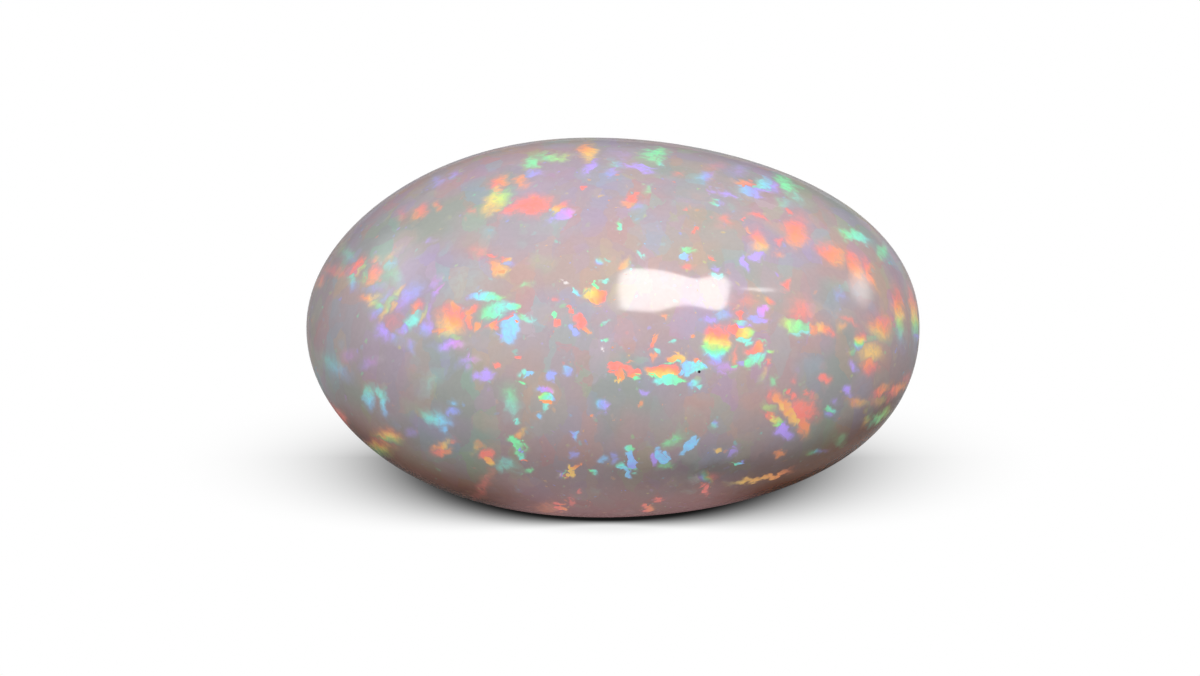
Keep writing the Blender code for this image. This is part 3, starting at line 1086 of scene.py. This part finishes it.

# %% [markdown]
# ### Scattered flashes
#
# A Voronoi texture gives every cell one random colour. Its first number decides whether the
# cell lights up, its second picks the hue and its third the size. Two coarse sizes of cells
# make flashes, a fine one pin fire, and the finest one the glitter in the middle of the front.
# On the front the coarse ones stay faint, so that the listed flashes stand out.

# %% Flashes scattered by a rule
CELL_EDGE = (1.05, 0.35)  # shares of a flash's size where it begins and is full
LEAST_BULK = 0.3  # strength of the smallest flash, as a share of the largest
LAST_HUE = 0.94  # the spectrum is used up to here, so no flash is white
COARSE_HIDDEN = 0.65  # share of the coarse ones that the front hides
PINS_HIDDEN = 0.3
DUST_REACH = (6.5, 2.0)  # mm from the clearest place where the glitter begins and is full
SLANT_TURN = (0.4, 0.3, 0.7)  # radians round X, Y and Z
SLANT_SHAPE = (0.8, 1.2, 1.5)


def scatter(colour, cover, vector, scale, share, strength, size):
    """Lights a share of the cells and lays them over the colour so far."""
    luck, hue, bulk = cells(vector, scale).split()
    distance = cells(vector, scale, out=0)
    edge = distance.ease(size * CELL_EDGE[0], size * CELL_EDGE[1])
    lit = luck.ease(1 - share, 1 - share * 0.8)
    mask = edge * lit * strength * (bulk * (1 - LEAST_BULK) + LEAST_BULK)
    shade = (hue * LAST_HUE).ramp(SPECTRUM)
    return mask.blend(colour, shade), mask * (1 - cover) + cover


coarse = 1 - front * COARSE_HIDDEN
pins = 1 - front * PINS_HIDDEN
dust = from_middle.ease(*DUST_REACH) * front
slanted = start.node(
    "ShaderNodeMapping",
    {"vector_type": "POINT"},
    {"Vector": frayed, "Rotation": SLANT_TURN, "Scale": SLANT_SHAPE},
)
SCATTERED = (  # coordinates, cells to a mm, share that lights up, strength, size
    (slanted, 0.75, 0.30, coarse, 0.75),
    (frayed, 1.7, 0.16, coarse, 0.62),
    (frayed, 4.2, 0.085, pins, 0.55),
    (frayed, 8.0, 0.05, dust, 0.50),
)
fire, cover = (0.5, 0.5, 0.5, 1.0), 0.0
for vector, scale, share, strength, size in SCATTERED:
    fire, cover = scatter(fire, cover, vector, scale, share, strength, size)
body = cover.blend(body, fire)
print("sizes of scattered flashes:", len(SCATTERED))

# %% [markdown]
# ### From a row to a flash
#
# Each row is turned into the numbers that the group's sums need. Its middle is found on the
# stone by a sight line. A flash that lies deep near an end, or is faint, gets a soft edge, and
# one near the surface in the middle a crisp one. All of this is worked out once, in Python.

# %% Numbers of one flash
ORDER_STEP = 4e-5  # each row wins over the ones above it by this much
FAR_OFF = -1.0  # strength where no flash is near
NO_FLASH = {"Peak": FAR_OFF, "Strength": 0.0, "Hue slope": 0.0, "Hue start": 0.0}
OVERSIZE = 1.25  # square of the reach, in half sizes, at which a flash is half as strong
SOFT = 1.0  # range of that square over which the edge of a crisp flash fades
VERY_SOFT = 2.6  # the same for a faint flash, and for one that lies deep near the ends
DEEP_ACROSS = (3.0, 5.0)  # mm aside where flashes begin to lie deep, and mm until they do
DEEP_UP = (2.0, 6.0)  # the same upwards
PALER = 0.24  # share of its strength that such a deep flash loses in the milk
HUE_SPAN = 1.6  # half sizes over which the hue runs from first to last


def flash_numbers(index, row):
    """What the group needs to know about one flash, by socket name."""
    across, rise, half_length, half_width, turn, first, last, strength = row
    centre = sight(across, rise)[0]
    if centre is None:
        print("flash off the stone:", row)
        return NO_FLASH
    aside = max(0.0, abs(across - CLEAREST) - DEEP_ACROSS[0]) / DEEP_ACROSS[1]
    blur = min(1.0, aside + max(0.0, rise - DEEP_UP[0]) / DEEP_UP[1])
    strength = (strength + index * ORDER_STEP) * (1.0 - PALER * blur)
    softness = SOFT + (VERY_SOFT - SOFT) * max(blur, 1.0 - strength)
    steep = math.sqrt(strength / softness)
    turned = math.radians(turn)
    numbers = {"Peak": strength * (OVERSIZE / softness + 0.5), "Strength": strength}
    for name, angle, half in (
        ("Along", turned, half_length),
        ("Side", turned + math.pi / 2, half_width),
    ):
        axis = right * math.cos(angle) + up * math.sin(angle)
        numbers[name + " across"] = math.cos(angle) / half * steep
        numbers[name + " up"] = math.sin(angle) / half * steep
        numbers[name + " start"] = -axis.dot(centre / MM) / half * steep
    numbers["Hue slope"] = (last - first) / HUE_SPAN / steep
    numbers["Hue start"] = (first + last) / 2
    return numbers


print("numbers of the first flash:", len(flash_numbers(0, FLASHES[0])))

# %% [markdown]
# ### Laying the flashes
#
# The groups are chained. Each takes the best strength and hue so far and hands on the better
# ones. At the end of the chain X, Y and Z each hold a winner, and the strongest of the three
# is the flash that shows.

# %% Listed flashes
def stronger(one, other):
    """The stronger of two flashes, each given as a strength and a hue."""
    wins = start.math("GREATER_THAN", other[0], one[0])
    hue = start.node("ShaderNodeMix", sockets={0: wins, 2: one[1], 3: other[1]})
    return start.math("MAXIMUM", one[0], other[0]), hue


def lay_flashes(numbers):
    """Lays flashes three at a time. Returns how strong the winner is, and its hue."""
    best, hues = (FAR_OFF,) * 3, (0.0,) * 3
    for first in range(0, len(numbers), 3):
        rows = (numbers[first:first + 3] + [NO_FLASH] * 2)[:3]
        names = rows[0].keys()
        sockets = {name: tuple(row.get(name, 0.0) for row in rows) for name in names}
        sockets.update({"Across": across_three, "Up": up_three, "Best": best, "Hue": hues})
        best = start.node("ShaderNodeGroup", {"node_tree": flash_tree}, sockets, out="Best")
        hues = Wire(material_tree, best.socket.node.outputs["Hue"])
    lanes = list(zip(best.split(), hues.split()))
    return stronger(stronger(lanes[0], lanes[1]), lanes[2])


across_mm = start.vector("DOT_PRODUCT", frayed, tuple(right), out=1)
up_mm = start.vector("DOT_PRODUCT", frayed, tuple(up), out=1)
across_three, up_three = triple(across_mm), triple(up_mm)
print("groups for all flashes in one chain:", math.ceil(len(FLASHES) / 3))

# %% [markdown]
# ### Gloss and wear
#
# The polish is close to glass, with faint smears where fingers touched it. The fire also
# glows a little by itself, since it comes from inside the stone and isn't dimmed where the
# surface turns away. A clear coat over a matt body would do as well, but one polished layer
# is what the real stone has.

# %% Gloss and glow
FULL = 0.90  # how much of the milk a full flash hides
HALO = 0.13  # share of that which bleeds out round it
HALO_RANGE = (-0.6, 0.4)  # strengths of a flash where the halo begins and is full
GLOW = 0.38  # light of a full flash, added to what it sends back
OPAL_IOR = 1.45
SPECULAR = 0.42  # a little under the neutral 0.5, since the milk scatters at the very surface
GLOSS = (0.080, 0.125)  # roughness of the polish, clean and smeared
SMEAR_SCALE = 0.9
SMEAR_RANGE = (0.35, 0.75)  # values of the pattern where a smear begins and is full

smears = noise(place, SMEAR_SCALE, 3.0).ease(*SMEAR_RANGE, *GLOSS)
print("roughness of the polish, clean and smeared:", GLOSS)

# %% [markdown]
# ### The grey band, a painted dark reflection
#
# Low on the front a grey band crosses the stone in a shallow arc: a painted reflection of
# something dark. It could be a stripe of even width, but the real one comes and goes, so a
# slow noise varies how much of it shows.

# %% The grey band, a painted dark reflection
BAND_LOW = -5.60  # height of the band's middle, in mm from the middle of the outline
BAND_LOWEST = 2.0  # how far right of that middle it is lowest
BAND_RISE = 0.020  # how fast it climbs to both sides
BAND_ABOVE = (0.55, 0.10)  # mm over its middle where it begins and is full
BAND_BELOW = (-1.10, -0.20)
BAND_LEFT = (-1.0, 3.0)  # mm across where it begins and is full
BAND_RIGHT = (8.0, 5.0)
BAND_SCALE = 0.45  # of the slow noise
BAND_SHARE = (0.05, 0.55)  # of it that shows at the noise's lowest and highest
# grey of the painted dark reflection
DARK_REFLECTION = paint(118, 106, 108)

seen_middle = (low + high) / 2 / MM
over_x, over_y = across_mm - middle[0] / MM, up_mm - (middle[1] / MM + seen_middle.dot(up))
beside = over_x - BAND_LOWEST
curve = beside * beside * BAND_RISE + BAND_LOW
above = over_y - curve
wide = noise(place, BAND_SCALE) * (BAND_SHARE[1] - BAND_SHARE[0]) + BAND_SHARE[0]
reflection_band = above.ease(*BAND_ABOVE) * above.ease(*BAND_BELOW)
reflection_band = reflection_band * over_x.ease(*BAND_LEFT) * over_x.ease(*BAND_RIGHT)
# painted reflection: the grey band laid over the body
body = (reflection_band * front * wide).blend(body, DARK_REFLECTION)
print("band lies in mm below the middle:", -BAND_LOW)

# %% [markdown]
# ### Painted rim shade and grain
#
# The lower rim is painted darker and brown at both sides, most of all on the right. That is
# painted shade, brown as light that has come the longest way through the stone. A fine grain
# then keeps every tint from looking flat.

# %% Painted rim shade and grain
RIM_TURN = (0.74, 0.26)  # how far the surface faces the camera where the painted rim shade begins and is full
RIM_LOW = (-1.8, -4.2)  # mm up where it begins and is full
RIM_ENDS = (1.5, 6.0)  # mm to either side where it begins and is full
RIM_SHADE_SIDES = (-2.0, 4.0)  # mm across between which it changes from the left's share to full
LEFT_RIM_SHADE = 0.7  # share of it on the left
# brown of the painted shade at the lower rim
RIM_SHADE_BROWN = paint(150, 92, 60)
GRAIN_SCALE = 5.0
GRAIN_RANGE = (0.30, 0.70)
VEIL = (0.98, 1.02)  # how dark and how light the grain makes the body

ends = start.math("ABSOLUTE", over_x - CLEAREST)
# painted shade at the lower rim, brown as light that came through the stone
shaded_rim = facing.ease(*RIM_TURN) * over_y.ease(*RIM_LOW) * ends.ease(*RIM_ENDS) * front
body = (shaded_rim * over_x.ease(*RIM_SHADE_SIDES, LEFT_RIM_SHADE, 1.0)).blend(body, RIM_SHADE_BROWN)
grain = noise(frayed, GRAIN_SCALE, 3.0)
veil = grain.ease(*GRAIN_RANGE, *VEIL)
body = start.node("ShaderNodeVectorMath", {"operation": "SCALE"}, {0: body, "Scale": veil})
print("grain varies the body by", round(VEIL[1] - VEIL[0], 2))

# %% [markdown]
# ### The rosy belly and a pit
#
# The middle of the belly glows rose, because light from the table enters it there and comes
# out again. A little light of its own gives that. The scattered flashes of the back get some
# too. One tiny pit in the polish is the only blemish, and it dims any flash that it lies in.

# %% The rosy belly and a pit
BELLY_HEIGHTS = (4.6, 1.2)  # mm above the table where the glow begins and is full
BELLY_ENDS = (6.5, 2.5)  # mm to either side
BELLY_GLOW = (0.38, 0.20, 0.21, 1.0)
PIT = (3.45, -1.77)  # mm across and up
PIT_START, PIT_FULL = 0.0715, 0.0385  # mm from its middle
PIT_COLOUR = paint(38, 30, 36)
SPECKLE = (0.70, 1.0)  # how much of a flash shows at its dullest and its clearest grains
SPECKLE_RANGE = (0.32, 0.60)

belly = height.ease(*BELLY_HEIGHTS) * ends.ease(*BELLY_ENDS) * front
BLACK = (0.0, 0.0, 0.0, 1.0)
own_light = (cover * (1 - front)).blend(BLACK, fire)
own_light = belly.blend(own_light, BELLY_GLOW)
pit_middle = tuple(sight(*PIT)[0] / MM)
pit = start.vector("DISTANCE", place, pit_middle, out=1).ease(PIT_START, PIT_FULL)
body = pit.blend(body, PIT_COLOUR)
shown = grain.ease(*SPECKLE_RANGE, *SPECKLE) * front * (1 - pit)
print("pit stands in mm at:", [round(part, 2) for part in pit_middle])

# %% [markdown]
# ### Panes
#
# One chain of all the flashes would be slow to render. So the stone is finished in upright
# panes. Each pane is one finished shader that only knows the flashes that reach into it. Mix
# Shader nodes lay the panes side by side, with a factor of 0 or 1. Where a pane has no part in
# a point, the renderer skips it.

# %% Panes of finished stone
PANE = 2.5  # width of a pane in mm
FIRST_EDGE = -10.0  # where the first pane ends, in mm across
EDGES = 9
OUTSIDE = 99.0  # mm, beyond any end of the stone
SPARE = 0.7  # how far the jitter can carry a flash beyond its size

numbered = [(row[0], row[2] + row[3], flash_numbers(i, row)) for i, row in enumerate(FLASHES)]


def finished(left_edge, right_edge):
    """The opal's shader, with the flashes that reach between two edges."""
    near = [
        numbers for across, reach, numbers in numbered
        if left_edge - SPARE - reach < across < right_edge + SPARE + reach
    ]
    strength, hue = lay_flashes(near)
    halo = strength.ease(*HALO_RANGE, 0.0, HALO)
    covered = (strength.ease(0.0, 1.0, 0.0, FULL - HALO) + halo) * shown
    play = hue.ramp(SPECTRUM)
    light = start.vector("ADD", covered.blend(BLACK, play), own_light)
    sockets = {
        "Base Color": covered.blend(body, play),
        "Roughness": smears,
        "IOR": OPAL_IOR,
        "Specular IOR Level": SPECULAR,
        "Emission Color": light,
        "Emission Strength": GLOW,
    }
    print("pane from", left_edge, "mm has", len(near), "flashes")
    return start.node("ShaderNodeBsdfPrincipled", sockets=sockets)


edges = [FIRST_EDGE + PANE * count for count in range(EDGES)]
skin = finished(-OUTSIDE, edges[0])
for edge, following in zip(edges, edges[1:] + [OUTSIDE]):
    past = start.math("GREATER_THAN", across_mm, edge)
    skin = start.node(
        "ShaderNodeMixShader", sockets={0: past, 1: skin, 2: finished(edge, following)}
    )
output = material_tree.nodes.new("ShaderNodeOutputMaterial")
material_tree.links.new(skin.socket, output.inputs["Surface"])
print("material nodes:", len(material_tree.nodes))

# %% [markdown]
# ## Lights
#
# The stone lies on a plain white table in soft light. The main glint in the picture is the
# mirror image of a softbox. Its outline is read on the stone, each corner is sent along its
# mirrored sight line, and the softbox is built where those lines end. Its shape then looks
# right on the stone, and its light falls from where the shadow says it should.

# %% Helpers of the stage
NEUTRAL = (1.0, 1.0, 1.0, 1.0)
SOFT_RIM = 0.9  # share of a soft panel, from its rim inwards, over which it brightens


def emitting(name, colour, strength, soft):
    """A glowing material. A soft one fades from its middle to its edge."""
    material = bpy.data.materials.new(name)
    material.use_nodes = True
    tree = material.node_tree
    tree.nodes.clear()
    if soft:
        glow = Wire(tree).node("ShaderNodeAttribute", {"attribute_name": "glow"}, out=2)
        strength = glow.ease(0.0, SOFT_RIM) * strength
    lamp = Wire(tree).node(
        "ShaderNodeEmission", sockets={"Color": colour, "Strength": strength}
    )
    end = tree.nodes.new("ShaderNodeOutputMaterial")
    tree.links.new(lamp.socket, end.inputs["Surface"])
    return material


def stage_mesh(name, points, faces, material):
    mesh = bpy.data.meshes.new(name)
    mesh.from_pydata([tuple(point) for point in points], [], faces)
    mesh.materials.append(material)
    made = bpy.data.objects.new(name, mesh)
    bpy.context.scene.collection.objects.link(made)
    return made


print("light is neutral:", NEUTRAL)

# %% [markdown]
# The softbox is a fan of triangles round its middle. A number on its points, 1 in the middle
# and 0 at the rim, lets a soft one fade outwards, as a window does through a curtain.

# %% The softbox of the main glint
PANEL_DISTANCE = 500 * MM


def softbox(name, outline, strength, soft=False):
    """A glowing panel whose mirror image has this outline on the stone."""
    centre = [sum(part) / len(outline) for part in zip(*outline)]
    points = []
    for across, rise in [centre] + list(outline):
        spot, line = mirrored(across, rise)
        points.append(spot + line * PANEL_DISTANCE)
    count = len(outline)
    faces = [(0, 1 + i, 1 + (i + 1) % count) for i in range(count)]
    material = emitting(name + " light", NEUTRAL, strength, soft)
    panel = stage_mesh(name, points, faces, material)
    glow = panel.data.attributes.new("glow", "FLOAT", "POINT")
    glow.data.foreach_set("value", [1.0] + [0.0] * count)
    panel.visible_camera = False
    return panel


KEY_OUTLINE = (
    (0.22, 1.50), (0.30, 2.10), (0.64, 2.34), (2.04, 2.28), (3.32, 1.96), (4.28, 2.07),
    (4.68, 1.86), (4.60, 0.80), (4.08, 0.72), (2.80, 0.90), (1.52, 0.66), (0.34, 0.74),
)
KEY_STRENGTH = 15.8
key = softbox("key_softbox", KEY_OUTLINE, KEY_STRENGTH)
print("softbox stands in mm at:", [round(part / MM) for part in key.data.vertices[0].co])

# %% [markdown]
# Three weaker panels are only mirrored and light nothing: a thin strip that draws the glint
# out to the right, and two dim windows near the ends.

# %% Windows that are only mirrored
def oval(across, rise, half_across, half_rise, turn=0.0, count=24):
    """An outline of an ellipse seen on the stone, in mm from its middle."""
    tilt = math.radians(turn)
    rows = []
    for index in range(count):
        angle = math.tau * index / count
        a, b = half_across * math.cos(angle), half_rise * math.sin(angle)
        rows.append((
            across + a * math.cos(tilt) - b * math.sin(tilt),
            rise + a * math.sin(tilt) + b * math.cos(tilt),
        ))
    return rows


# Corners of the strip, then place, half sizes and turn of two ovals, all seen on the stone
GLINT = ((4.95, 1.64), (5.8, 1.58), (6.75, 1.49), (6.75, 1.42), (5.8, 1.49), (4.95, 1.52))
RIGHT_OVAL = oval(9.84, 1.60, 0.66, 1.10, turn=15)
LEFT_OVAL = oval(-8.60, 2.30, 1.6, 2.3, turn=-30)
GLINT_STRENGTH = 38.0
RIGHT_STRENGTH = 5.4
LEFT_STRENGTH = 2.8
windows = (
    softbox("glint_strip", GLINT, GLINT_STRENGTH, soft=True),
    softbox("right_window", RIGHT_OVAL, RIGHT_STRENGTH, soft=True),
    softbox("left_window", LEFT_OVAL, LEFT_STRENGTH, soft=True),
)
for window in windows:
    window.visible_diffuse = False
print("mirrored windows:", len(windows))

# %% [markdown]
# Two large panels only soften the shading and aren't mirrored: one in front on the left, and
# a dim one behind, so that the back of the stone isn't left in the dark.

# %% Fill lights
CORNERS = ((-1, -1), (1, -1), (1, 1), (-1, 1))
FILL_STRENGTH = 4.7
BACK_STRENGTH = 3.6
PANEL_HALF_WIDTH = 130 * MM
PANEL_HALF_HEIGHT = 100 * MM


def fill_panel(name, middle_spot, strength):
    """A glowing panel that faces the stone, and is neither seen nor mirrored."""
    side = middle_spot.cross(Vector((0, 0, 1))).normalized() * PANEL_HALF_WIDTH
    rise = side.cross(middle_spot).normalized() * PANEL_HALF_HEIGHT
    points = [middle_spot + side * a + rise * b for a, b in CORNERS]
    light = emitting(name + " light", NEUTRAL, strength, False)
    panel = stage_mesh(name, points, [(0, 1, 2, 3)], light)
    panel.visible_glossy = False
    panel.visible_camera = False
    return panel


FRONT_SPOT = Vector((-260, -300, 200)) * MM
BACK_SPOT = Vector((120, 400, 110)) * MM
panels = (
    fill_panel("front_fill", FRONT_SPOT, FILL_STRENGTH),
    fill_panel("back_fill", BACK_SPOT, BACK_STRENGTH),
)
print("fill panels:", len(panels))

# %% [markdown]
# ## The table and its shadow
#
# In the picture the table is burnt out to pure white, and only a small soft shadow is left
# round the belly. So to the camera the table glows evenly white, and the shadow is painted
# on it as an oval that fades outwards. To the stone it is a dim grey board, so that the
# belly stays dark.

# %% Table
TABLE_HALF = 600 * MM
TABLE_SENDS = 0.34  # share of light that the table sends up to the stone
SHADOW_MIDDLE = (-0.26 * MM, 2.8 * MM, 0.0)
SHADOW_SIZE = (8.2 * MM, 8.0 * MM, 1.0)  # half sizes of the dark oval
SHADOW_FADE = (0.85, 0.93)  # from black to white in front, in those half sizes
DARKEST = 0.012  # tone of the table right under the belly
BACK_FADE = 0.14  # how much further in the fade starts for each mm behind its middle
SIDE_FADE = 0.080  # how much wider the fade gets for each mm to the side
SIDE_START = 2.0  # mm to the side at which that widening sets in
HAZE = (0.86, 1.08, 0.76)  # where the faint outer shadow starts and ends, and its tone

table_material = bpy.data.materials.new("white table")
table_material.use_nodes = True
table_material.node_tree.nodes.clear()
board = Wire(table_material.node_tree)
spot = board.vector("SUBTRACT", board.node("ShaderNodeTexCoord", out=3), SHADOW_MIDDLE)
from_side, from_back = [part * (1 / MM) for part in spot.split()[:2]]
far = board.vector("LENGTH", board.vector("DIVIDE", spot, SHADOW_SIZE), out=1)
aside = ((from_side * from_side + SIDE_START ** 2) ** 0.5 - SIDE_START) * SIDE_FADE
behind = board.math("MAXIMUM", from_back, 0.0) * BACK_FADE
shadow = far.ease(SHADOW_FADE[0] - behind, aside + SHADOW_FADE[1], DARKEST, 1.0)
white_light = shadow * far.ease(*HAZE, 1.0)
white = board.node("ShaderNodeEmission", sockets={"Strength": white_light})
grey = board.node(
    "ShaderNodeBsdfDiffuse", sockets={"Color": (TABLE_SENDS,) * 3 + (1.0,)}
)
by_camera = board.node("ShaderNodeLightPath", out=0)
table_skin = board.node("ShaderNodeMixShader", sockets={0: by_camera, 1: grey, 2: white})
table_end = table_material.node_tree.nodes.new("ShaderNodeOutputMaterial")
table_material.node_tree.links.new(table_skin.socket, table_end.inputs["Surface"])
table_points = [(x * TABLE_HALF, y * TABLE_HALF, 0) for x, y in CORNERS]
stage_mesh("table", table_points, [(0, 1, 2, 3)], table_material)
print("table is", 2 * TABLE_HALF, "m wide")

# %% [markdown]
# ## The room
#
# The room gives the stone a dim, even light from all round, and the camera sees it as pure
# white. The plain view transform keeps the picked screen colours as they are.

# %% Room and picture settings
ROOM_LIGHT = (0.12, 0.12, 0.125, 1.0)
world = bpy.data.worlds.new("studio")
bpy.context.scene.world = world
world.use_nodes = True
world.node_tree.nodes.clear()
sky = Wire(world.node_tree)
seen_by_camera = sky.node("ShaderNodeLightPath", out=0)
room = seen_by_camera.blend(ROOM_LIGHT, (1, 1, 1, 1))
backdrop = sky.node("ShaderNodeBackground", sockets={"Color": room, "Strength": 1.0})
world_end = world.node_tree.nodes.new("ShaderNodeOutputWorld")
world.node_tree.links.new(backdrop.socket, world_end.inputs["Surface"])

bpy.context.scene.view_settings.view_transform = "Standard"
bpy.context.scene.view_settings.look = "None"
print("view transform:", bpy.context.scene.view_settings.view_transform)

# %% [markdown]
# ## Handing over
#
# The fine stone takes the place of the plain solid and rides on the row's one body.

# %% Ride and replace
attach(stone, "root")
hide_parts("opal")
